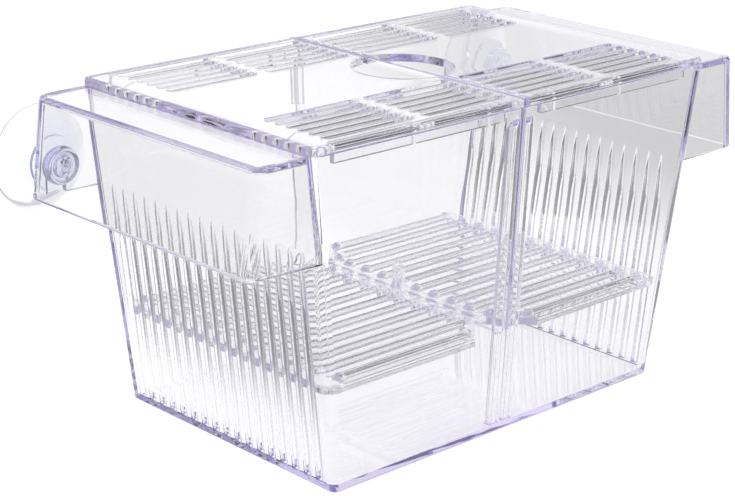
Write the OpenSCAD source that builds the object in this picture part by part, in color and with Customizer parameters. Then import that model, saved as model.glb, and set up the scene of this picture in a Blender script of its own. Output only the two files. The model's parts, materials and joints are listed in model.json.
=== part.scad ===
// Fish breeding box with two rooms, in millimetres.
// A clear tapered tub hangs in a tank by two hollow wings and suction cups.
// A divider parts it, a slotted grid lies in each room, and two slotted lid
// halves close it. The origin is the middle of the tub's underside, +X runs
// along the long side and +Z is up. The front is at -Y and the cups face +Y.

/* [Tub] */
// Height of the tub from its underside to its rim
tub_h = 100; // [90:1:115]
// Length over the rim
rim_l = 161.4; // [152:0.2:180]
// Width over the rim
rim_w = 100.4; // [96:0.2:112]
// Length over the base
base_l = 136; // [128:1:150]
// Width over the base
base_w = 91.8; // [88:0.2:96]
// Thickness of the side walls
wall_t = 2; // [1.6:0.1:2.6]
// Thickness of the floor
floor_t = 2.2; // [1.6:0.1:3]
// Outer radius of the upright corners
corner_r = 2.6; // [2:0.1:4]

/* [End wall slots] */
// Number of slots in each end wall
end_slots = 17; // [9:2:17]
// Distance between the middles of two slots
end_slot_pitch = 5; // [4:0.1:5]
// Width of a slot
end_slot_w = 2; // [1.4:0.1:2.6]
// Height above the underside where a slot's groove runs out of the sloping wall
end_slot_top = 72; // [60:1:80]
// Bar of wall left between the floor and the slots
end_slot_sill = 0.4; // [0.3:0.1:3]

/* [Wings] */
// How far a wing reaches past the rim at its top
wing_reach = 17.3; // [15:0.1:22]
// How much further it reaches at its lower edge
wing_splay = 3.3; // [1:0.1:5]
// Height of a wing
wing_h = 30; // [26:1:34]
// How far each of a wing's cheeks stands inside the rim
wing_inset = 1.6; // [1.5:0.1:4]
// Thickness of a wing's walls
wing_t = 2; // [1.6:0.1:2.4]
// Radius of a wing's outer upright corners
wing_r = 3.6; // [2.4:0.1:4]

/* [Divider] */
// Thickness of the divider
divider_t = 2; // [1.5:0.1:2.4]
// Height of its lower edge above the tub's underside
divider_z = 30.3; // [24:0.1:40]
// Radius of its lower corners
divider_r = 3; // [1:0.5:5]
// Gap between the divider and each side of its groove
groove_gap = 0.25; // [0.15:0.05:0.4]
// Width of each long rib on the front wall
rib_w = 2.9; // [2:0.1:4]
// How far the ribs stand out from the wall
rib_d = 2.8; // [2:0.1:4]
// Distance from the rim down to the tops of the ribs
rib_drop = 3.6; // [2:0.1:6]
// Width of each short rib on the back wall
back_rib_w = 0.9; // [0.8:0.1:2]
// Height of a short rib
back_rib_h = 16.4; // [10:0.2:30]

/* [Grids] */
// Height of a grid's underside above the tub's underside
grid_z = 30; // [26:0.5:40]
// Thickness of a grid
grid_t = 2.5; // [2:0.1:3.5]
// Distance between the middles of two slots
grid_pitch = 7.5; // [7:0.1:7.8]
// Width of a slot
grid_slot_w = 3.5; // [2.5:0.1:3.8]
// Margin from the divider's side of a grid to its slots
grid_inner_margin = 3.4; // [3:0.1:6]
// Margin from the end wall's side of a grid to its slots
grid_outer_margin = 6; // [5:0.1:9]
// Radius of the two corners beside the end wall
grid_r = 3; // [2.5:0.5:5]
// Size of the cut corners beside the divider's ribs
grid_cut = 12; // [9:0.5:14]
// Radius of the half-round ridge along each bar
ridge_r = 1.3; // [0.9:0.1:1.6]
// Radius of the knob at each end of a ridge
knob_r = 1.8; // [1.7:0.1:2]
// Height of the finger tab above the grid
tab_h = 8.5; // [5:0.1:12]
// Width of the finger tab
tab_w = 3.4; // [2.5:0.1:8]
// Thickness of the finger tab
tab_t = 1.6; // [1.2:0.1:2.2]
// Distance of the tab from the middle of the grid
tab_off = 2; // [0:0.5:6]
// Length of the web that props the tab
web_l = 5; // [3:0.5:8]
// Height of that web
web_h = 4; // [3:0.1:6]

/* [Lid] */
// Thickness of the lid
lid_t = 2.5; // [2:0.1:3.2]
// How far the lid stays inside the rim at the ends
lid_inset_l = 0; // [0:0.1:1]
// How far the lid stays inside the rim at the front and back
lid_inset_w = 0.2; // [0:0.1:1.4]
// Radius of the lid's outer corners
lid_r = 2.4; // [1:0.1:5]
// Slots in each field, front to back
lid_rows = 6; // [4:1:6]
// Distance between the middles of two rows
lid_pitch = 4.5; // [4:0.1:4.6]
// Width of a lid slot
lid_slot_w = 2.5; // [1.8:0.1:2.8]
// Margin from the lid's long edge to the first row's middle
lid_front_margin = 6.5; // [5:0.1:8]
// Plain margin at the seam
lid_seam_margin = 1.4; // [1:0.1:3]
// Plain margin at the outer end
lid_end_margin = 8.9; // [6:0.1:12]
// Width of the crossbar between the two groups of slots
lid_bar_w = 4.1; // [3:0.1:6]
// Diameter of the finger hole
finger_d = 31; // [26:0.2:34]
// Height of the lips under the lid
lip_h = 3.4; // [2:0.1:5]
// Thickness of the lips
lip_t = 1.6; // [1:0.1:2]
// Distance from the middle of the box to a lip's inner end
lip_in = 7.3; // [6:0.1:9]
// Distance from a lip's outer end to the end of the lid
lip_out = 8.2; // [5:0.1:12]
// Radius of the small upright ribs on the lips
nub_r = 0.7; // [0.4:0.1:1]
// Distance between the two small ribs on a lip
nub_pitch = 29; // [20:0.5:40]
// Distance from a lip's inner end to its first small rib
nub_in = 6.2; // [3:0.1:9]

/* [Suction cups] */
// Diameter of a cup
cup_d = 32; // [26:0.5:34]
// Depth of a cup, from the wing to its sealing edge
cup_depth = 8; // [6:0.1:10]
// Width of the flat sealing edge
cup_edge = 0.8; // [0.5:0.1:1.5]
// Depth of the hollow in the cup's face
cup_hollow = 3; // [2:0.1:4]
// Diameter of the shoulder that meets the wing
cup_shoulder_d = 16; // [12:0.5:18]
// Diameter of the neck
cup_neck_d = 6; // [5:0.1:7]
// Diameter of the knob inside the wing
cup_knob_d = 11.4; // [9:0.1:13]
// Length of the knob
cup_knob_h = 3.6; // [2.5:0.1:5]
// Distance from the rim's end out to the axis of the cup
cup_x = 10.6; // [8.5:0.1:12]
// Height of that axis above the wing's lower edge
cup_z = 9; // [6:0.5:12]
// Gap between the neck and each side of its slot
neck_gap = 0.15; // [0.1:0.05:0.3]

/* [Hidden] */
$fn = 48;
// Gap between loose pieces that lie beside each other
fit_gap = 0.3;
// Overshoot of a cut past the face that it opens
past = 1;
inner_r = corner_r - wall_t / 2;
wing_z = tub_h - wing_h;
wing_w = rim_w - 2 * wing_inset;
lid_l = rim_l - 2 * lid_inset_l;
lid_w = rim_w - 2 * lid_inset_w;
seam_x = divider_t / 2 + fit_gap;
groove_w = divider_t + 2 * groove_gap;
rib_top = tub_h - rib_drop;
grid_x0 = divider_t / 2 + fit_gap;
grid_x1 = half_l(grid_z) - wall_t - fit_gap;
grid_y = half_w(grid_z) - wall_t - fit_gap;
grid_slots = floor(2 * (grid_y - knob_r - fit_gap) / grid_pitch);
grid_slot_x0 = grid_x0 + grid_inner_margin;
grid_slot_x1 = grid_x1 - grid_outer_margin;
lip_y = half_w(tub_h - lip_h) - wall_t - fit_gap;
lid_slot_x0 = seam_x + lid_seam_margin;
lid_slot_x1 = lid_l / 2 - lid_end_margin;
lid_bar_x = (lid_slot_x0 + lid_slot_x1) / 2;
cup_axis_x = rim_l / 2 + cup_x;
cup_axis_z = wing_z + cup_z;
cheek_y = wing_w / 2;

// Half the tub's outer length at a height z
function half_l(z) = (base_l + (rim_l - base_l) * z / tub_h) / 2;
// Half the tub's outer width at a height z
function half_w(z) = (base_w + (rim_w - base_w) * z / tub_h) / 2;
// Half the length over both wings at a height z
function wing_half(z) = rim_l / 2 + wing_reach + wing_splay * (tub_h - z) / wing_h;
// Points of an arc round a centre
function arc(cx, cy, r, a0, a1, n = 6) =
    [for (i = [0:n]) let(a = a0 + (a1 - a0) * i / n) [cx + r * cos(a), cy + r * sin(a)]];

// Rectangle of l by w with round corners of short facets, as one outline
module rounded_rect(l, w, r) {
    x = l / 2 - r;
    y = w / 2 - r;
    polygon(concat(arc(x, y, r, 0, 90, 8), arc(-x, y, r, 90, 180, 8),
        arc(-x, -y, r, 180, 270, 8), arc(x, -y, r, 270, 360, 8)));
}

// Slot of width w with round ends, from x0 to x1
module round_slot(x0, x1, w) {
    translate([x0 + w / 2, -w / 2]) square([x1 - x0 - w, w]);
    for (x = [x0 + w / 2, x1 - w / 2]) translate([x, 0]) circle(w / 2);
}

// Block that follows the tub's taper, set in from its outside
module taper(z0, z1, inset, r) {
    l = half_l(z0) - inset;
    w = half_w(z0) - inset;
    grow = [(half_l(z1) - inset) / l, (half_w(z1) - inset) / w];
    translate([0, 0, z0])
        linear_extrude(height = z1 - z0, scale = grow, slices = 1)
            rounded_rect(2 * l, 2 * w, r);
}

// Block over both wings, set in from their outside
module wing_block(z0, z1, inset) {
    l = wing_half(z0) - inset;
    grow = [(wing_half(z1) - inset) / l, 1];
    translate([0, 0, z0])
        linear_extrude(height = z1 - z0, scale = grow, slices = 1)
            rounded_rect(2 * l, wing_w - 2 * inset, wing_r - inset / 2);
}

// The same thing at both ends of the box
module both_ends() {
    children();
    mirror([1, 0, 0]) children();
}

// Outline in the YZ plane, given thickness along X
module upright(t) {
    rotate([90, 0, 90]) linear_extrude(t, center = true) children();
}

// Plan of one slot, a straight cut outward from x0 that ends in a round nose at x1
module slot_plan(x0, x1, w) {
    polygon(concat([[x0, w / 2], [x0, -w / 2]], arc(x1 - w / 2, 0, w / 2, -90, 90, 8)));
}

// Slots of the right end wall. An upright rib of the mould makes each one. Low
// down it passes right through the sloping wall. Higher up the wall leans away
// from it, so the slot turns into a groove inside the wall, and fades out.
module end_wall_slots() {
    first = -(end_slots - 1) / 2;
    x0 = half_l(0) - wall_t - past;
    nose = half_l(end_slot_top) - wall_t;
    low = floor_t + end_slot_sill;
    for (i = [0:end_slots - 1])
        translate([0, (first + i) * end_slot_pitch, low])
            linear_extrude(end_slot_top + past - low)
                slot_plan(x0, nose, end_slot_w);
}

// Upright rib on the wall at +Y, with a sloping top, that follows the taper
module wall_rib(z0, z1, w) {
    inner0 = half_w(z0) - wall_t;
    inner1 = half_w(z1) - wall_t;
    root = wall_t / 2;
    upright(w)
        polygon([[inner0 + root, z0], [inner0 - rib_d, z0],
            [half_w(z1 - rib_d) - wall_t - rib_d, z1 - rib_d],
            [inner1 - rib_d / 2, z1 - rib_d / 6], [inner1, z1], [inner1 + root, z1]]);
}

// Pair of ribs on either side of the divider's groove
module groove_ribs(z0, z1, w) {
    for (side = [-1, 1])
        translate([side * (groove_w + w) / 2, 0, 0]) wall_rib(z0, z1, w);
}

// Hollow of the tub, ending at the rim, with a plug that opens it upward
module tub_hollow() {
    taper(floor_t, tub_h, wall_t, inner_r);
    translate([0, 0, tub_h - past])
        linear_extrude(2 * past)
            rounded_rect(rim_l - 2 * wall_t - past, rim_w - 2 * wall_t - past, inner_r);
}

// Hood over the whole length, open below, whose two ends are the wings
module wing_hood() {
    difference() {
        wing_block(wing_z, tub_h, 0);
        wing_block(wing_z - past, tub_h - wing_t, wing_t);
    }
}

// Slot in a wing's back cheek, open at the lower edge, for a cup's neck
module neck_slot() {
    r = cup_neck_d / 2 + neck_gap;
    depth = wing_t + 2 * past;
    translate([cup_axis_x, cheek_y + past, cup_axis_z])
        rotate([90, 0, 0]) cylinder(r = r, h = depth);
    translate([cup_axis_x - r, cheek_y + past - depth, wing_z - past])
        cube([2 * r, depth, cup_z + past]);
}

module tub() {
    color([0.90, 0.89, 0.96, 0.35]) {
        difference() {
            union() {
                taper(0, tub_h, 0, corner_r);
                wing_hood();
            }
            tub_hollow();
            both_ends() {
                end_wall_slots();
                neck_slot();
            }
        }
        mirror([0, 1, 0]) groove_ribs(floor_t, rib_top, rib_w);
        groove_ribs(rib_top - back_rib_h, rib_top, back_rib_w);
    }
}

// Outline of the right lid half
module lid_outline() {
    translate([seam_x, -lid_w / 2]) square([lid_l / 2 - seam_x - lid_r, lid_w]);
    translate([seam_x, lid_r - lid_w / 2]) square([lid_l / 2 - seam_x, lid_w - 2 * lid_r]);
    for (y = [-1, 1])
        translate([lid_l / 2 - lid_r, y * (lid_w / 2 - lid_r)]) circle(lid_r);
}

// Two groups of slots in the front and the back field
module lid_slots() {
    for (side = [-1, 1], row = [0:lid_rows - 1])
        translate([0, side * (lid_w / 2 - lid_front_margin - row * lid_pitch)]) {
            round_slot(lid_slot_x0, lid_bar_x - lid_bar_w / 2, lid_slot_w);
            round_slot(lid_bar_x + lid_bar_w / 2, lid_slot_x1, lid_slot_w);
        }
}

// Lip that drops inside the back wall, with its two small ribs
module lid_lip() {
    l = lid_l / 2 - lip_out - lip_in;
    translate([lip_in, lip_y - lip_t, tub_h - lip_h]) cube([l, lip_t, lip_h + lid_t / 2]);
    for (i = [0, 1])
        translate([lip_in + nub_in + i * nub_pitch, lip_y - lip_t, tub_h - lip_h - nub_r / 2])
            cylinder(r = nub_r, h = lip_h + lid_t / 2);
}

// Right half of the lid
module lid_half() {
    color([0.92, 0.91, 0.97, 0.35]) {
        translate([0, 0, tub_h])
            linear_extrude(lid_t)
                difference() {
                    lid_outline();
                    lid_slots();
                    circle(d = finger_d);
                }
        lid_lip();
        mirror([0, 1, 0]) lid_lip();
    }
}

module lid_left() {
    mirror([1, 0, 0]) lid_half();
}

module lid_right() {
    lid_half();
}

// Plate that hangs by two ears on the rim, with round lower corners
module divider() {
    low = half_w(divider_z) - wall_t - fit_gap;
    high = half_w(tub_h) - wall_t - fit_gap;
    ear = lid_w / 2;
    top = tub_h + lid_t;
    r = divider_r;
    color([0.86, 0.83, 0.97, 0.35])
        upright(divider_t)
            polygon(concat(
                [[ear, tub_h], [ear, top], [-ear, top], [-ear, tub_h], [-high, tub_h]],
                arc(r - low, divider_z + r, r, 180, 270),
                arc(low - r, divider_z + r, r, 270, 360),
                [[high, tub_h]]));
}

// Outline of the right grid, cut beside the divider and round at the end wall
module grid_outline() {
    x = grid_x1 - grid_r;
    y = grid_y - grid_r;
    polygon(concat([[grid_x0, grid_cut - grid_y], [grid_x0 + grid_cut, -grid_y]],
        arc(x, -y, grid_r, 270, 360), arc(x, y, grid_r, 0, 90),
        [[grid_x0 + grid_cut, grid_y], [grid_x0, grid_y - grid_cut]]));
}

// First and last x of a bar or slot at y, kept clear of the cut corners
function grid_start(y) = max(grid_slot_x0, grid_slot_x0 + abs(y) - grid_y + grid_cut);

// Finger tab on the divider's side, propped by a small web
module finger_tab() {
    foot = grid_z + grid_t / 2;
    head = grid_z + grid_t + tab_h;
    r = min(tab_t, tab_w / 2 - 0.1);
    translate([grid_x0 + tab_t / 2, tab_off, 0])
        upright(tab_t)
            polygon(concat([[-tab_w / 2, foot], [tab_w / 2, foot]],
                arc(tab_w / 2 - r, head - r, r, 0, 90),
                arc(r - tab_w / 2, head - r, r, 90, 180)));
    translate([grid_x0 + tab_t / 2, tab_off, foot])
        rotate([90, 0, 0])
            linear_extrude(tab_t, center = true)
                polygon([[0, 0], [web_l + tab_t / 2, 0], [web_l + tab_t / 2, grid_t / 2 + web_h / 4],
                    [tab_t / 2, grid_t / 2 + web_h], [0, grid_t / 2 + web_h]]);
}

// Right grid, with a round-backed ridge along each bar
module grid_half() {
    first = -(grid_slots - 1) / 2;
    top = grid_z + grid_t;
    color([0.93, 0.93, 0.96, 0.35]) {
        translate([0, 0, grid_z])
            linear_extrude(grid_t)
                difference() {
                    grid_outline();
                    for (i = [0:grid_slots - 1])
                        translate([0, (first + i) * grid_pitch])
                            round_slot(grid_start((first + i) * grid_pitch), grid_slot_x1, grid_slot_w);
                }
        for (i = [0:grid_slots]) {
            y = (first + i - 0.5) * grid_pitch;
            x0 = grid_start(y);
            translate([x0, y, top]) rotate([0, 90, 0]) cylinder(r = ridge_r, h = grid_slot_x1 - x0);
            for (x = [x0, grid_slot_x1]) translate([x, y, top]) sphere(knob_r);
        }
        finger_tab();
    }
}

module grid_left() {
    rotate([0, 0, 180]) grid_half();
}

module grid_right() {
    grid_half();
}

// Cup turned about its own axis: knob, neck, shoulder and hollow dish
module cup() {
    neck = cup_neck_d / 2;
    knob = cup_knob_d / 2;
    rim = cup_d / 2;
    shoulder = cup_shoulder_d / 2;
    // The wing's cheek lies between 0 and -wing_t
    inner = -wing_t - fit_gap;
    back = inner - cup_knob_h;
    face = cup_depth;
    profile = concat(
        [[0, back + 1.2], [knob * 0.22, back + 1.2], [knob * 0.3, back + 0.3],
            [knob * 0.45, back + 0.3], [knob * 0.55, back + 1]],
        arc(knob * 0.78, back + 1.1, knob * 0.22, 180, 270, 4),
        [[knob, back + 1.6], [knob, inner - 1], [knob - 1, inner], [neck, inner]],
        [[neck, fit_gap], [shoulder, fit_gap], [shoulder + 0.4, 1.6]],
        [for (t = [0.25, 0.5, 0.75]) [shoulder + 0.4 + (rim - shoulder - 0.4) * t,
            1.6 + (face - 2.4) * pow(t, 1.6)]],
        [[rim, face - 0.8], [rim, face], [rim - cup_edge, face]],
        [for (t = [0.8, 0.6, 0.4, 0.2, 0]) [(rim - cup_edge) * t,
            face - cup_hollow * (1 - pow(t, 2))]]);
    color([0.93, 0.95, 0.97, 0.45])
        translate([cup_axis_x, cheek_y, cup_axis_z])
            rotate([-90, 0, 0]) rotate_extrude($fn = 64) polygon(profile);
}

module suction_cup_left() {
    mirror([1, 0, 0]) cup();
}

module suction_cup_right() {
    cup();
}

tub();
lid_left();
lid_right();
divider();
grid_left();
grid_right();
suction_cup_left();
suction_cup_right();
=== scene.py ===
"""Looks of a clear two-room fish breeding box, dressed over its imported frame.

The tub, both lid halves, the divider and both grids are injection-moulded clear
styrene. Their edges are slightly rounded, light that runs along inside them
comes out violet, and their walls carry faint flow waves. The suction cups are
soft clear vinyl. Lengths are in metres, unless a name ends in _mm.
"""

from __future__ import annotations

import json
import logging
import math
from dataclasses import dataclass
from enum import Enum
from typing import Any, Sequence

import bmesh
import bpy
import numpy as np
from mathutils import Matrix, Vector

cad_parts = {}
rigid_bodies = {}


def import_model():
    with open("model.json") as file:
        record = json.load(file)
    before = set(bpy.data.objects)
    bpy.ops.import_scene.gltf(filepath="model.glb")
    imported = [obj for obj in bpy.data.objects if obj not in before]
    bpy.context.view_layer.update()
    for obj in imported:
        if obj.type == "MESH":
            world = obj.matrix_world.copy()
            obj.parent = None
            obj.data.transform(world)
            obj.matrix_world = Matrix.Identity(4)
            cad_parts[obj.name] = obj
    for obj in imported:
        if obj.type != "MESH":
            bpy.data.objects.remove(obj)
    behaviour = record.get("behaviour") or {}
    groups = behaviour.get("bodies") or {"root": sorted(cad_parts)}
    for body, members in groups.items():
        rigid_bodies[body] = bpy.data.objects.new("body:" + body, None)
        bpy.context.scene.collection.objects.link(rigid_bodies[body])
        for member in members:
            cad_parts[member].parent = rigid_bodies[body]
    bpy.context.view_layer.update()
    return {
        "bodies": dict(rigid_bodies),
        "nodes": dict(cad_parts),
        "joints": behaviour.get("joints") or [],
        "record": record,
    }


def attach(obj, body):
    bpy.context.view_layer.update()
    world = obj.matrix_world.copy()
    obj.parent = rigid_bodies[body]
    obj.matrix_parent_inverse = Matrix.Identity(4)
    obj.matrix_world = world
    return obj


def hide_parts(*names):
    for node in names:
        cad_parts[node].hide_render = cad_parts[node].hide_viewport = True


LOG = logging.getLogger("breeding_box")
MM = 0.001

Colour = tuple[float, float, float, float]
Direction = tuple[float, float, float]

WHITE: Colour = (1.0, 1.0, 1.0, 1.0)
BLACK: Colour = (0.0, 0.0, 0.0, 1.0)
UP: Direction = (0.0, 0.0, 1.0)
TO_LEFT: Direction = (-1.0, 0.0, 0.0)
TO_FRONT: Direction = (0.0, -1.0, 0.0)


class Node(str, Enum):
    """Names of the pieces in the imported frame."""

    TUB = "tub"
    LID_LEFT = "lid_left"
    LID_RIGHT = "lid_right"
    DIVIDER = "divider"
    GRID_LEFT = "grid_left"
    GRID_RIGHT = "grid_right"
    CUP_LEFT = "suction_cup_left"
    CUP_RIGHT = "suction_cup_right"


class Side(Enum):
    """End of the box that a paired piece belongs to, as the sign of its x."""

    LEFT = -1
    RIGHT = 1


def linear(colour: str) -> Colour:
    """Turns an sRGB colour into the linear values that a shader works in.

    Each channel c becomes c / 12.92 below 0.04045, and otherwise
    ((c + 0.055) / 1.055) to the power 2.4.

    Args:
        colour: The colour as "#rrggbb".

    Returns:
        Red, green, blue and an alpha of one.
    """
    c = np.array([int(colour[i : i + 2], 16) for i in (1, 3, 5)]) / 255.0
    lin = np.where(c <= 0.04045, c / 12.92, ((c + 0.055) / 1.055) ** 2.4)
    return (*(float(v) for v in lin), 1.0)


def add(
    tree: bpy.types.NodeTree,
    kind: str,
    settings: dict[str, Any] | None = None,
    **inputs: Any,
) -> bpy.types.Node:
    """Adds one shader node with its settings and its inputs.

    Args:
        tree: The node tree that gets the node.
        kind: The node's type name.
        settings: Properties of the node itself.
        **inputs: Values or output sockets by input name, with _ for a space
            and i0, i1 and so on for an input by its number.

    Returns:
        The new node.
    """
    node = tree.nodes.new(kind)
    for name, value in (settings or {}).items():
        setattr(node, name, value)
    for name, value in inputs.items():
        numbered = name[0] == "i" and name[1:].isdigit()
        socket = node.inputs[int(name[1:])] if numbered else node.inputs[name.replace("_", " ")]
        if isinstance(value, bpy.types.NodeSocket):
            tree.links.new(value, socket)
        else:
            socket.default_value = value
    return node


def maths(tree: bpy.types.NodeTree, operation: str, first: Any, second: Any) -> bpy.types.NodeSocket:
    """Adds a math node and returns its result.

    Args:
        tree: The node tree.
        operation: The operation's name.
        first: Its first value or socket.
        second: Its second value or socket.

    Returns:
        The result.
    """
    node = add(tree, "ShaderNodeMath", {"operation": operation}, i0=first, i1=second)
    return node.outputs[0]


def blend(
    tree: bpy.types.NodeTree, factor: bpy.types.NodeSocket, at_zero: Colour, at_one: Colour
) -> bpy.types.NodeSocket:
    """Adds a mix of two colours.

    Args:
        tree: The node tree.
        factor: Where the mix stands between the two.
        at_zero: Colour where the factor is zero.
        at_one: Colour where it is one.

    Returns:
        The mixed colour.
    """
    node = add(tree, "ShaderNodeMix", {"data_type": "RGBA"}, i0=factor, i6=at_zero, i7=at_one)
    return node.outputs[2]


def choose(
    tree: bpy.types.NodeTree,
    factor: bpy.types.NodeSocket,
    at_zero: bpy.types.Node,
    at_one: bpy.types.Node,
) -> bpy.types.Node:
    """Adds a mix of two shaders.

    Args:
        tree: The node tree.
        factor: Where the mix stands between the two.
        at_zero: Shader where the factor is zero.
        at_one: Shader where it is one.

    Returns:
        The mix's node.
    """
    return add(
        tree,
        "ShaderNodeMixShader",
        Fac=factor,
        i1=at_zero.outputs[0],
        i2=at_one.outputs[0],
    )


def emptied(owner: bpy.types.Material | bpy.types.World) -> bpy.types.NodeTree:
    """Gives a new material or world a node tree without any node.

    Args:
        owner: The material or world.

    Returns:
        Its node tree.
    """
    owner.use_nodes = True
    owner.node_tree.nodes.clear()
    return owner.node_tree


def link(name: str, data: bpy.types.ID) -> bpy.types.Object:
    """Makes an object and puts it in the scene.

    Args:
        name: Name of the object.
        data: Its mesh, light or camera.

    Returns:
        The object, at the origin.
    """
    made = bpy.data.objects.new(name, data)
    bpy.context.scene.collection.objects.link(made)
    return made


def dress(piece: bpy.types.Object, material: bpy.types.Material, node: Node) -> None:
    """Gives a piece its finish and puts it in the place of its CAD node.

    Args:
        piece: The piece.
        material: Its finish.
        node: The CAD node that it stands for.
    """
    piece.data.materials.clear()
    piece.data.materials.append(material)
    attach(piece, node.value)
    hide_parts(node.value)


@dataclass(frozen=True)
class FlowWaves:
    """Faint swells that the melt leaves in a moulded wall.

    Attributes:
        length_mm: Distance from crest to crest.
        height_mm: Height of a crest.
        detail: Octaves of finer swells on top of the first.
        fineness: Share of its height that each octave keeps.
    """

    length_mm: float = 14.0
    height_mm: float = 0.03
    detail: float = 1.0
    fineness: float = 0.4

    def bump(self, tree: bpy.types.NodeTree) -> bpy.types.NodeSocket:
        """Adds the swells, in object space.

        Args:
            tree: The material's node tree.

        Returns:
            The surface normal after them.
        """
        place = add(tree, "ShaderNodeTexCoord")
        swell = add(
            tree,
            "ShaderNodeTexNoise",
            Vector=place.outputs["Object"],
            Scale=1.0 / (self.length_mm * MM),
            Detail=self.detail,
            Roughness=self.fineness,
        )
        lift = add(
            tree,
            "ShaderNodeBump",
            Height=swell.outputs["Fac"],
            Strength=1.0,
            Distance=self.height_mm * MM,
        )
        return lift.outputs["Normal"]


@dataclass(frozen=True)
class ClearFinish:
    """A clear moulded plastic with its own tint in depth.

    Attributes:
        name: Name of the material.
        ior: Index of refraction.
        roughness: Roughness of the surface.
        tint: Colour that the light keeps on its way through the plastic.
        density: How fast the tint deepens, per metre.
        shade: Colour of the light that gets through to what lies behind.
        waves: Swells of the surface, or None for a true one.
    """

    name: str
    ior: float
    roughness: float
    tint: str
    density: float
    shade: str
    waves: FlowWaves | None = None

    def build(self) -> bpy.types.Material:
        """Makes the material.

        The surface refracts and mirrors as one dielectric, while lamps shine
        through it with a pale shade, as through a thin clear wall. The volume
        takes up a little of the light on every millimetre of its way.

        Returns:
            The material.
        """
        material = bpy.data.materials.new(self.name)
        tree = emptied(material)
        body = add(
            tree,
            "ShaderNodeBsdfPrincipled",
            Base_Color=WHITE,
            Roughness=self.roughness,
            IOR=self.ior,
            Transmission_Weight=1.0,
        )
        if self.waves:
            tree.links.new(self.waves.bump(tree), body.inputs["Normal"])
        passing = add(tree, "ShaderNodeBsdfTransparent", Color=linear(self.shade))
        path = add(tree, "ShaderNodeLightPath")
        surface = choose(tree, path.outputs["Is Shadow Ray"], body, passing)
        depth = add(tree, "ShaderNodeVolumeAbsorption", Color=linear(self.tint), Density=self.density)
        add(
            tree,
            "ShaderNodeOutputMaterial",
            Surface=surface.outputs[0],
            Volume=depth.outputs[0],
        )
        return material


# General-purpose polystyrene, injection moulded and highly polished: the glass-like
# gloss of an IOR of 1.59, and a violet toner that shows only where light runs far
# inside, at edges and corners.
STYRENE = ClearFinish(
    name="clear_styrene_moulded",
    ior=1.59,
    roughness=0.0,
    tint="#cfc2f0",
    density=9.0,
    shade="#f4f3f9",
    waves=FlowWaves(),
)
# Plasticised vinyl, moulded soft: a little hazy, and bluish where it is thick.
VINYL = ClearFinish(
    name="soft_vinyl_moulded",
    ior=1.53,
    roughness=0.06,
    tint="#c3c6ec",
    density=60.0,
    shade="#eef1f8",
)


@dataclass(frozen=True)
class RounderEdge:
    """Edges at one height whose radius differs from the rest of a piece.

    Attributes:
        z_mm: Height of the edges.
        radius_mm: Their radius.
        x_from_mm: Edges count from this distance to the middle along X,
        y_from_mm: or from this distance along Y.
        slack_mm: How far an edge may lie off the height.
    """

    z_mm: float
    radius_mm: float
    x_from_mm: float = 0.0
    y_from_mm: float = math.inf
    slack_mm: float = 0.01

    def holds(self, edge: bmesh.types.BMEdge) -> bool:
        """Says whether both ends of an edge lie where these edges are.

        Args:
            edge: An edge of the piece.

        Returns:
            Whether it is one of these edges.
        """
        return all(
            abs(v.co.z / MM - self.z_mm) < self.slack_mm
            and (abs(v.co.x / MM) >= self.x_from_mm or abs(v.co.y / MM) >= self.y_from_mm)
            for v in edge.verts
        )


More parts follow.
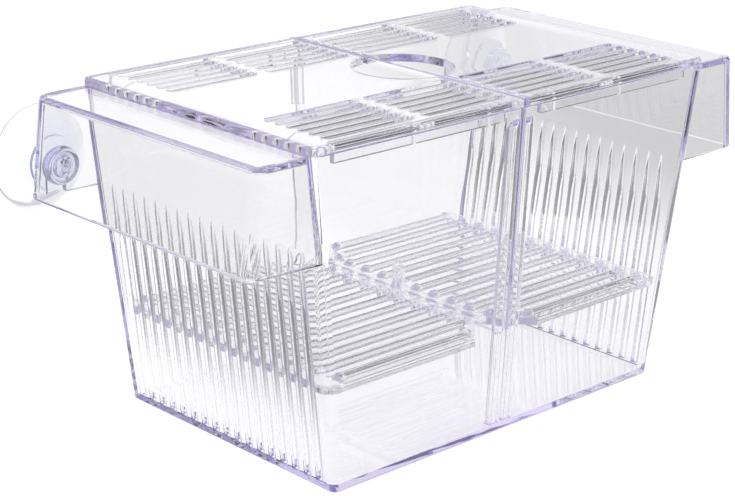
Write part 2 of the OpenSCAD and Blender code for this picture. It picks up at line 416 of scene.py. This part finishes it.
@dataclass(frozen=True)
class Moulding:
    """A styrene piece whose shape is its CAD node's, with moulded edges.

    Attributes:
        node: The CAD node.
        slot: The record's material slot; not used.
        edge_mm: Radius of its edges.
        others: Edges with a radius of their own.
        seat_z_mm: Height of the faces that rest on the rim, if any.
        seat_gap_mm: Air that such a face keeps from the rim under it.
        seat_slack: How far a point of such a face may lie off the height.
        weld: Distance under which points of the CAD mesh become one.
        sharp_deg: Angle between two faces over which their edge is rounded.
        flat_weight: How strongly large faces hold the shading flat.
    """

    node: Node
    slot: str
    edge_mm: float
    others: tuple[RounderEdge, ...] = ()
    seat_z_mm: float | None = None
    seat_gap_mm: float = 0.06
    seat_slack: float = 1e-6
    weld: float = 2e-6
    sharp_deg: float = 32.0
    flat_weight: int = 80

    def copy(self, frame: dict[str, Any]) -> bpy.types.Object:
        """Copies the CAD node's mesh and welds it.


        Returns:
            The copy, as an object at the origin.
        """
        mesh = frame["nodes"][self.node.value].data.copy()
        mesh.name = f"{self.node.value}_moulded"
        work = bmesh.new()
        work.from_mesh(mesh)
        bmesh.ops.remove_doubles(work, verts=work.verts, dist=self.weld)
        work.to_mesh(mesh)
        work.free()
        return link(mesh.name, mesh)

    def seat(self, piece: bpy.types.Object) -> None:
        """Lifts the points at the height of the rim by the air gap.

        Args:
            piece: The piece.
        """
        if self.seat_z_mm is None:
            return
        points = np.empty(len(piece.data.vertices) * 3, np.float32)
        piece.data.vertices.foreach_get("co", points)
        z = points[2::3]
        z[np.abs(z - self.seat_z_mm * MM) < self.seat_slack] += self.seat_gap_mm * MM
        piece.data.vertices.foreach_set("co", points)
        piece.data.update()

    def weigh(self, piece: bpy.types.Object) -> float:
        """Marks the edges to be rounded with their radius over the largest one.

        Args:
            piece: The piece.

        Returns:
            The largest radius, in millimetres.
        """
        largest = max([self.edge_mm] + [o.radius_mm for o in self.others])
        work = bmesh.new()
        work.from_mesh(piece.data)
        layer = work.edges.layers.float.new("bevel_weight_edge")
        for edge in work.edges:
            if len(edge.link_faces) == 2 and edge.calc_face_angle() > math.radians(self.sharp_deg):
                own = [o.radius_mm for o in self.others if o.holds(edge)]
                edge[layer] = (own[0] if own else self.edge_mm) / largest
        work.to_mesh(piece.data)
        work.free()
        return largest

    def soften(self, piece: bpy.types.Object) -> None:
        """Rounds the edges and keeps the flat faces flat in the shading.

        A piece with wide edges gets three facets across each, any other two.
        The width stays even round a corner, so that no point leaves the face.

        Args:
            piece: The piece.
        """
        piece.data.shade_smooth()
        edge = piece.modifiers.new("moulded_edges", "BEVEL")
        edge.width = self.weigh(piece) * MM
        edge.segments = 3 if self.others else 2
        edge.limit_method = "WEIGHT"
        edge.use_clamp_overlap = False
        edge.miter_outer = "MITER_SHARP"
        edge.loop_slide = False
        flat = piece.modifiers.new("flat_faces", "WEIGHTED_NORMAL")
        flat.mode = "FACE_AREA"
        flat.weight = self.flat_weight
        flat.keep_sharp = True

    def build(self, frame: dict[str, Any], material: bpy.types.Material) -> bpy.types.Object:
        """Makes the piece and hands it to the frame.

        Args:
            material: The piece's finish.

        Returns:
            The piece.
        """
        piece = self.copy(frame)
        self.seat(piece)
        self.soften(piece)
        dress(piece, material, self.node)
        LOG.info("%s: %d faces from the frame", piece.name, len(piece.data.polygons))
        return piece


@dataclass(frozen=True)
class SuctionCup:
    """A vinyl suction cup: dish, shoulder, neck and a domed knob with a cross.

    Attributes:
        side: End of the box.
        axis_x_mm: Distance of its axis from the middle of the box.
        cheek_y_mm: Outer face of the wing's cheek, where the neck passes.
        axis_z_mm: Height of its axis.
        sides: Points round the cup.
        steps: Points on each stretch of the profile.
        slope: Share of the distance between a point's two neighbours that
            the curve takes as its slope there.
        knob_to_mm: Depth up to which the surface belongs to the knob's end.
        cross_r_mm: Radius of the cross on the knob's end.
        cross_h_mm: Height of the cross.
        sharp_deg: Angle over which an edge shows as an edge.
        profile_mm: Radius and depth of the section's points, from the middle
            of the knob's end round to the middle of the hollow face.
    """

    side: Side
    axis_x_mm: float = 91.3
    cheek_y_mm: float = 48.6
    axis_z_mm: float = 79.0
    sides: int = 96
    steps: int = 5
    slope: float = 0.45
    knob_to_mm: float = -4.0
    cross_r_mm: float = 3.0
    cross_h_mm: float = 0.5
    sharp_deg: float = 60.0
    profile_mm: tuple[tuple[float, float], ...] = (
        (0.0, -4.9),
        (1.6, -4.9),
        (2.1, -5.7),
        (2.9, -5.75),
        (3.4, -5.1),
        (4.1, -5.2),
        (4.6, -5.85),
        (5.3, -5.6),
        (5.7, -4.6),
        (5.7, -3.3),
        (5.2, -2.45),
        (4.4, -2.3),
        (3.3, -2.28),
        (3.0, -2.0),
        (3.0, 0.0),
        (3.3, 0.28),
        (7.3, 0.32),
        (7.9, 0.55),
        (8.2, 1.3),
        (9.4, 2.0),
        (11.6, 3.4),
        (14.0, 5.3),
        (15.6, 6.9),
        (15.98, 7.5),
        (15.98, 7.9),
        (15.7, 7.98),
        (15.2, 7.98),
        (12.2, 6.9),
        (8.4, 5.85),
        (4.0, 5.1),
        (0.0, 4.98),
    )

    def outline(self) -> np.ndarray:
        """Rounds the profile with a curve through its points.

        Between points p1 and p2 the curve is the cubic whose slopes at them
        are p2 - p0 and p3 - p1, both times the cup's slope. At 0.5 that would
        be the Catmull-Rom curve, and a little less keeps it from swinging out
        at the corners.

        Returns:
            Radius and depth of each point, one row each, in millimetres.
        """
        p = np.array(self.profile_mm)
        before = np.vstack([p[:1], p[:-2]])
        after = np.vstack([p[2:], p[-1:]])
        s0 = (self.slope * (p[1:] - before))[:, None, :]
        s1 = (self.slope * (after - p[:-1]))[:, None, :]
        a, b = p[:-1, None, :], p[1:, None, :]
        t = (np.arange(self.steps) / self.steps)[None, :, None]
        curve = (
            (2 * t**3 - 3 * t**2 + 1) * a
            + (t**3 - 2 * t**2 + t) * s0
            + (3 * t**2 - 2 * t**3) * b
            + (t**3 - t**2) * s1
        )
        rows = np.vstack([curve.reshape(-1, 2), p[-1:]])
        rows[:, 0] = np.maximum(rows[:, 0], 0.0)
        rows[[0, -1], 0] = 0.0
        return rows

    def surface(self) -> tuple[np.ndarray, list[list[int]]]:
        """Works out the cup as a surface of the place on its outline and the turn.

        A point is (r cos a, d, r sin a). On the knob's end, where r is under
        the cross's radius, d drops by the cross's height times the fourth
        power of |cos 2a|, fading to nothing at the middle and at that radius.

        Returns:
            The points in metres in the frame, and the faces.
        """
        rows = self.outline()
        turn = np.arange(self.sides) * 2 * math.pi / self.sides
        r, a = np.meshgrid(rows[1:-1, 0], turn, indexing="ij")
        d = np.repeat(rows[1:-1, 1][:, None], self.sides, axis=1)
        on_knob = (d < self.knob_to_mm) & (r < self.cross_r_mm)
        fade = np.sin(np.clip(r / self.cross_r_mm, 0, 1) * math.pi)
        d = np.where(on_knob, d - self.cross_h_mm * fade * np.abs(np.cos(2 * a)) ** 4, d)
        ring = np.stack([r * np.cos(a), d, r * np.sin(a)], axis=-1).reshape(-1, 3)
        ends = np.array([[0.0, rows[0, 1], 0.0], [0.0, rows[-1, 1], 0.0]])
        n, m = r.shape
        i = np.arange(n - 1)[:, None] * m
        j = np.arange(m)
        k = (j + 1) % m
        quads = np.stack([i + j, i + k, i + m + k, i + m + j], axis=-1)
        first = np.stack([np.full(m, n * m), k, j], axis=-1)
        last = np.stack([np.full(m, n * m + 1), (n - 1) * m + j, (n - 1) * m + k], axis=-1)
        faces = quads.reshape(-1, 4).tolist() + first.tolist() + last.tolist()
        place = np.array([self.side.value * self.axis_x_mm, self.cheek_y_mm, self.axis_z_mm])
        return (np.vstack([ring, ends]) + place) * MM, faces

    def mould(self, name: str) -> bpy.types.Object:
        """Makes an object of the surface, with its faces turned outwards.

        Args:
            name: Name of the object and its mesh.

        Returns:
            The object, linked to the scene, at the origin.
        """
        points, faces = self.surface()
        mesh = bpy.data.meshes.new(name)
        mesh.from_pydata(points.tolist(), [], faces)
        work = bmesh.new()
        work.from_mesh(mesh)
        bmesh.ops.recalc_face_normals(work, faces=work.faces)
        work.to_mesh(mesh)
        work.free()
        mesh.shade_smooth()
        mesh.set_sharp_from_angle(angle=math.radians(self.sharp_deg))
        return link(name, mesh)

    def build(self, material: bpy.types.Material) -> bpy.types.Object:
        """Makes the cup and hands it to the frame.

        Args:
            material: Its finish.

        Returns:
            The cup.
        """
        node = Node.CUP_LEFT if self.side is Side.LEFT else Node.CUP_RIGHT
        piece = self.mould(f"{node.value}_vinyl")
        dress(piece, material, node)
        LOG.info("%s: %d faces", piece.name, len(piece.data.polygons))
        return piece


@dataclass(frozen=True)
class BreedingBox:
    """The whole box: the tub and everything that hangs in, on or over it.

    Attributes:
        rim_z_mm: Height of the tub's rim.
        lid_z_mm: Height of the lid's upper face.
        wing_x_mm: Distance from the middle at which the wings start.
        wing_z_mm: Height of the wings' lower edges.
        lid_x_mm: Distance from the middle along X from which an edge belongs
            to the lid's outer rim.
        lid_y_mm: The same along Y.
    """

    rim_z_mm: float = 100.0
    lid_z_mm: float = 102.5
    wing_x_mm: float = 80.5
    wing_z_mm: float = 70.0
    lid_x_mm: float = 78.0
    lid_y_mm: float = 49.8

    def mouldings(self) -> list[Moulding]:
        """Lists the styrene pieces in the order in which the box is put together.

        Returns:
            The pieces, each with the radii of its edges.
        """
        foot = RounderEdge(z_mm=0.0, radius_mm=1.0)
        wing_top = RounderEdge(self.rim_z_mm, radius_mm=1.2, x_from_mm=self.wing_x_mm)
        wing_foot = RounderEdge(self.wing_z_mm, radius_mm=0.7, x_from_mm=self.wing_x_mm)
        lid_rim = RounderEdge(
            self.lid_z_mm,
            radius_mm=1.0,
            x_from_mm=self.lid_x_mm,
            y_from_mm=self.lid_y_mm,
        )
        tub_edges = (foot, wing_top, wing_foot)
        grids = [Moulding(n, "clear_grid", edge_mm=0.25) for n in (Node.GRID_LEFT, Node.GRID_RIGHT)]
        lids = [
            Moulding(n, "clear_lid", edge_mm=0.25, others=(lid_rim,), seat_z_mm=self.rim_z_mm)
            for n in (Node.LID_LEFT, Node.LID_RIGHT)
        ]
        return [
            Moulding(Node.TUB, "clear_tub", edge_mm=0.35, others=tub_edges),
            *grids,
            Moulding(Node.DIVIDER, "clear_divider", edge_mm=0.3, seat_z_mm=self.rim_z_mm),
            *lids,
        ]

    def build(self, frame: dict[str, Any]) -> None:
        """Builds every piece.
        """
        styrene = STYRENE.build()
        vinyl = VINYL.build()
        for moulding in self.mouldings():
            moulding.build(frame, styrene)
        for side in Side:
            SuctionCup(side).build(vinyl)


@dataclass(frozen=True)
class View:
    """The place and turn from which the picture was taken.

    Attributes:
        eye: Place of the camera.
        yaw_deg: Turn of the view from +Y towards +X.
        pitch_deg: Tilt of the view below the horizon.
        roll_deg: Roll of the camera.
        lens_mm: Focal length.
        frame_mm: Width of the frame that it belongs to.
        near: Distance from which things show.
    """

    eye: tuple[float, float, float] = (-0.4116, -0.4155, 0.2425)
    yaw_deg: float = 43.81
    pitch_deg: float = 18.65
    roll_deg: float = 1.08
    lens_mm: float = 98.68
    frame_mm: float = 36.0
    near: float = 0.01

    def towards(self, turn_deg: float, height_deg: float = 0.0) -> Direction:
        """Works out the direction at a turn from the view, clockwise from above.

        Args:
            turn_deg: Turn from the view.
            height_deg: Height above the horizon.

        Returns:
            Its unit vector.
        """
        turn, height = math.radians(self.yaw_deg + turn_deg), math.radians(height_deg)
        return (
            math.sin(turn) * math.cos(height),
            math.cos(turn) * math.cos(height),
            math.sin(height),
        )

    def build(self) -> None:
        """Places the camera."""
        yaw, roll = math.radians(self.yaw_deg), math.radians(self.roll_deg)
        ahead = Vector(self.towards(0.0, -self.pitch_deg))
        right = Vector((math.cos(yaw), -math.sin(yaw), 0.0))
        up = right.cross(ahead)
        right, up = (
            right * math.cos(roll) + up * math.sin(roll),
            up * math.cos(roll) - right * math.sin(roll),
        )
        data = bpy.data.cameras.new("camera")
        data.lens = self.lens_mm
        data.sensor_width = self.frame_mm
        data.clip_start = self.near
        camera = link("camera", data)
        turn = Matrix((right, up, -ahead)).transposed()
        camera.matrix_world = Matrix.Translation(self.eye) @ turn.to_4x4()
        bpy.context.scene.camera = camera
        LOG.info("studio: camera at %s", self.eye)


@dataclass(frozen=True)
class Ramp:
    """A soft step of a value along a direction.

    Attributes:
        start: Dot product with the direction where the step starts.
        end: The same where it ends.
        low: Value before the step.
        high: Value after it.
    """

    start: float
    end: float
    low: float = 0.0
    high: float = 1.0

    def build(
        self, tree: bpy.types.NodeTree, way: bpy.types.NodeSocket, direction: Direction
    ) -> bpy.types.NodeSocket:
        """Adds the step.

        Args:
            tree: The node tree.
            way: The place or direction that is looked up.
            direction: Unit vector of the step.

        Returns:
            The step's value.
        """
        dot = add(tree, "ShaderNodeVectorMath", {"operation": "DOT_PRODUCT"}, i0=way, i1=direction)
        step = add(
            tree,
            "ShaderNodeMapRange",
            {"interpolation_type": "SMOOTHSTEP"},
            Value=dot.outputs["Value"],
            From_Min=self.start,
            From_Max=self.end,
            To_Min=self.low,
            To_Max=self.high,
        )
        return step.outputs[0]


@dataclass(frozen=True)
class Floor:
    """A round sheet of white paper, matt under light.

    Turns are counted from the view, so 0 degrees is behind the box and 90 degrees is at its right.
    Brightness of the painted shade goes from 0 to 1.

    Attributes:
        view: The view.
        radius: Radius of the sheet.
        height: Its height, a hair under the box, so that air lies between.
        sides: Number of its corners.
        paper: Colour of the paper.
        paper_lit: Its colour for the light that it throws back on the box.
        glow_seen: Light that it gives off on its own, seen directly.
        glow_through: The same, seen in or through a clear piece.
        left: Brightness over the distance to the left.
        right_turn_deg: Turn of the dimmer part at the right.
        right: Brightness over the distance that way.
        front: Brightness over the distance in front.
        corner_turn_deg: Turn of the dark far corner.
        corner_width: Its darkness over the cosine of the turn from it.
        corner: Its darkness over the distance that way.
    """

    view: View
    radius: float = 6.0
    height: float = -0.0001
    sides: int = 96
    paper: str = "#c4c4c6"
    paper_lit: str = "#e6e6e8"
    glow_seen: float = 0.75
    glow_through: float = 0.72
    left: Ramp = Ramp(0.075, 0.11, 1.0, 0.2)
    right_turn_deg: float = 67.0
    right: Ramp = Ramp(0.12, 0.22, 1.0, 0.6)
    front: Ramp = Ramp(0.02, 0.1, 1.0, 0.45)
    corner_turn_deg: float = 90.0
    corner_width: Ramp = Ramp(0.82, 0.99)
    corner: Ramp = Ramp(0.16, 0.3, 0.0, 0.65)

    def shade(self, tree: bpy.types.NodeTree) -> bpy.types.NodeSocket:
        """Works out the painted shade of each place, seen in or through a clear piece.

        It is painted white under the box and behind it. It is painted softly darker past its left end, at
        its right, in front of it and in the far corner. This painted shade stands for the dimmer
        surroundings of the box, and past its left end for the box's own shadow. The darkest of them
        counts.

        Args:
            tree: The node tree.

        Returns:
            The brightness.
        """
        place = add(tree, "ShaderNodeTexCoord").outputs["Object"]
        left = self.left.build(tree, place, TO_LEFT)
        right = self.right.build(tree, place, self.view.towards(self.right_turn_deg))
        front = self.front.build(tree, place, TO_FRONT)
        turn = add(tree, "ShaderNodeVectorMath", {"operation": "NORMALIZE"}, i0=place)
        to_corner = self.view.towards(self.corner_turn_deg)
        beside = self.corner_width.build(tree, turn.outputs[0], to_corner)
        away = self.corner.build(tree, place, to_corner)
        shade = maths(tree, "SUBTRACT", 1.0, maths(tree, "MULTIPLY", beside, away))
        for step in (left, right, front):
            shade = maths(tree, "MINIMUM", shade, step)
        return shade

    def material(self) -> bpy.types.Material:
        """Makes the paper.

        Seen directly it is evenly white with the box's shadow. Seen in or through a clear piece it has
        its painted shade, and any other light finds it plain and matt.

        Returns:
            The material.
        """
        material = bpy.data.materials.new("white_paper_sweep")
        tree = emptied(material)
        path = add(tree, "ShaderNodeLightPath")
        sheet = add(tree, "ShaderNodeBsdfDiffuse", Color=linear(self.paper))
        white = add(tree, "ShaderNodeEmission", Color=WHITE, Strength=self.glow_seen)
        seen = add(tree, "ShaderNodeAddShader", i0=sheet.outputs[0], i1=white.outputs[0])
        # Painted shade: seen in or through a clear piece, the paper's colour and glow are darkened by
        # place. This stands for the dimmer surroundings and for the box's shadow at its left.
        shade = self.shade(tree)
        painted_shade_grey = blend(tree, shade, BLACK, linear(self.paper))
        matt = add(tree, "ShaderNodeBsdfDiffuse", Color=painted_shade_grey)
        glow = maths(tree, "MULTIPLY", shade, self.glow_through)
        dim = add(tree, "ShaderNodeEmission", Color=WHITE, Strength=glow)
        through = add(tree, "ShaderNodeAddShader", i0=matt.outputs[0], i1=dim.outputs[0])
        clear = maths(tree, "MAXIMUM", path.outputs["Is Glossy Ray"], path.outputs["Is Transmission Ray"])
        lit = add(tree, "ShaderNodeBsdfDiffuse", Color=linear(self.paper_lit))
        indirect = choose(tree, clear, lit, through)
        both = choose(tree, path.outputs["Is Camera Ray"], indirect, seen)
        add(tree, "ShaderNodeOutputMaterial", Surface=both.outputs[0])
        return material

    def build(self) -> None:
        """Lays the sheet out."""
        turn = np.arange(self.sides) * 2 * math.pi / self.sides
        height = np.full(self.sides, self.height)
        rim = np.stack([self.radius * np.cos(turn), self.radius * np.sin(turn), height], axis=-1)
        mesh = bpy.data.meshes.new("studio_floor")
        mesh.from_pydata(rim.tolist(), [], [list(range(self.sides))])
        mesh.materials.append(self.material())
        link("studio_floor", mesh)


@dataclass(frozen=True)
class Sky:
    """The room: white all round, but for a dark screen and a low dark strip.

    Turns are counted as for the floor, and every value is a darkness.

    Attributes:
        view: The view.
        screen_deg: Turn and height of the middle of the screen.
        screen_r_deg: Radius of its dark middle, and of its soft border.
        screen_colour: Its colour.
        strip_turn_deg: Turn of the middle of the strip, at the left.
        strip_width: The strip over the cosine of the turn from its middle.
        strip_height: The strip over the sine of the height.
    """

    view: View
    screen_deg: tuple[float, float] = (68.0, 42.0)
    screen_r_deg: tuple[float, float] = (30.0, 52.0)
    screen_colour: str = "#18181c"
    strip_turn_deg: float = -90.0
    strip_width: Ramp = Ramp(0.8, 0.95)
    strip_height: Ramp = Ramp(0.1, 0.22, 0.95, 0.0)

    def build(self) -> None:
        """Lights the room evenly white and shows the dark parts to clear pieces only."""
        world = bpy.data.worlds.new("white_studio")
        bpy.context.scene.world = world
        tree = emptied(world)
        path = add(tree, "ShaderNodeLightPath")
        way = add(tree, "ShaderNodeTexCoord").outputs["Generated"]
        inner, outer = (math.cos(math.radians(a)) for a in self.screen_r_deg)
        screen = Ramp(outer, inner).build(tree, way, self.view.towards(*self.screen_deg))
        strip = self.strip_width.build(tree, way, self.view.towards(self.strip_turn_deg))
        low = self.strip_height.build(tree, way, UP)
        dark = maths(tree, "MAXIMUM", screen, maths(tree, "MULTIPLY", strip, low))
        paint = blend(tree, dark, WHITE, linear(self.screen_colour))
        room = add(tree, "ShaderNodeBackground", Color=paint, Strength=1.0)
        white = add(tree, "ShaderNodeBackground", Color=WHITE, Strength=1.0)
        both = choose(tree, path.outputs["Is Camera Ray"], room, white)
        add(tree, "ShaderNodeOutputWorld", Surface=both.outputs[0])


@dataclass(frozen=True)
class Lamp:
    """A square soft lamp.

    Attributes:
        name: Its name.
        place: Where it hangs.
        aim: Where it shines.
        size: Length of its side.
        watts: Its power.
    """

    name: str = "soft_lamp_above"
    place: tuple[float, float, float] = (0.3, 0.2, 1.3)
    aim: tuple[float, float, float] = (0.0, 0.0, 0.05)
    size: float = 0.8
    watts: float = 3.0

    def build(self) -> None:
        """Hangs the lamp."""
        light = bpy.data.lights.new(self.name, "AREA")
        light.shape = "SQUARE"
        light.size = self.size
        light.energy = self.watts
        rig = link(self.name, light)
        rig.location = self.place
        beam = Vector(self.aim) - Vector(self.place)
        rig.rotation_euler = beam.to_track_quat("-Z", "Y").to_euler()


@dataclass(frozen=True)
class Studio:
    """Plain pale studio: the white floor and room, one lamp and the camera.

    Attributes:
        bounces: Times that light may bend or mirror on its way through the
            many clear walls.
        shadow_walls: Clear walls that a lamp's light may pass.
    """

    bounces: int = 128
    shadow_walls: int = 64

    def build(self) -> None:
        """Sets up the whole studio."""
        scene = bpy.context.scene
        scene.view_settings.view_transform = "Standard"
        scene.cycles.max_bounces = self.bounces
        scene.cycles.glossy_bounces = self.bounces
        scene.cycles.transmission_bounces = self.bounces
        scene.cycles.transparent_max_bounces = self.shadow_walls
        view = View()
        view.build()
        Floor(view).build()
        Sky(view).build()
        Lamp().build()


def main() -> None:
    """Loads the frame, dresses every piece and sets the studio."""
    logging.basicConfig(level=logging.INFO, format="%(name)s: %(message)s")
    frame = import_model()
    BreedingBox().build(frame)
    Studio().build()


if __name__ == "__main__":
    main()
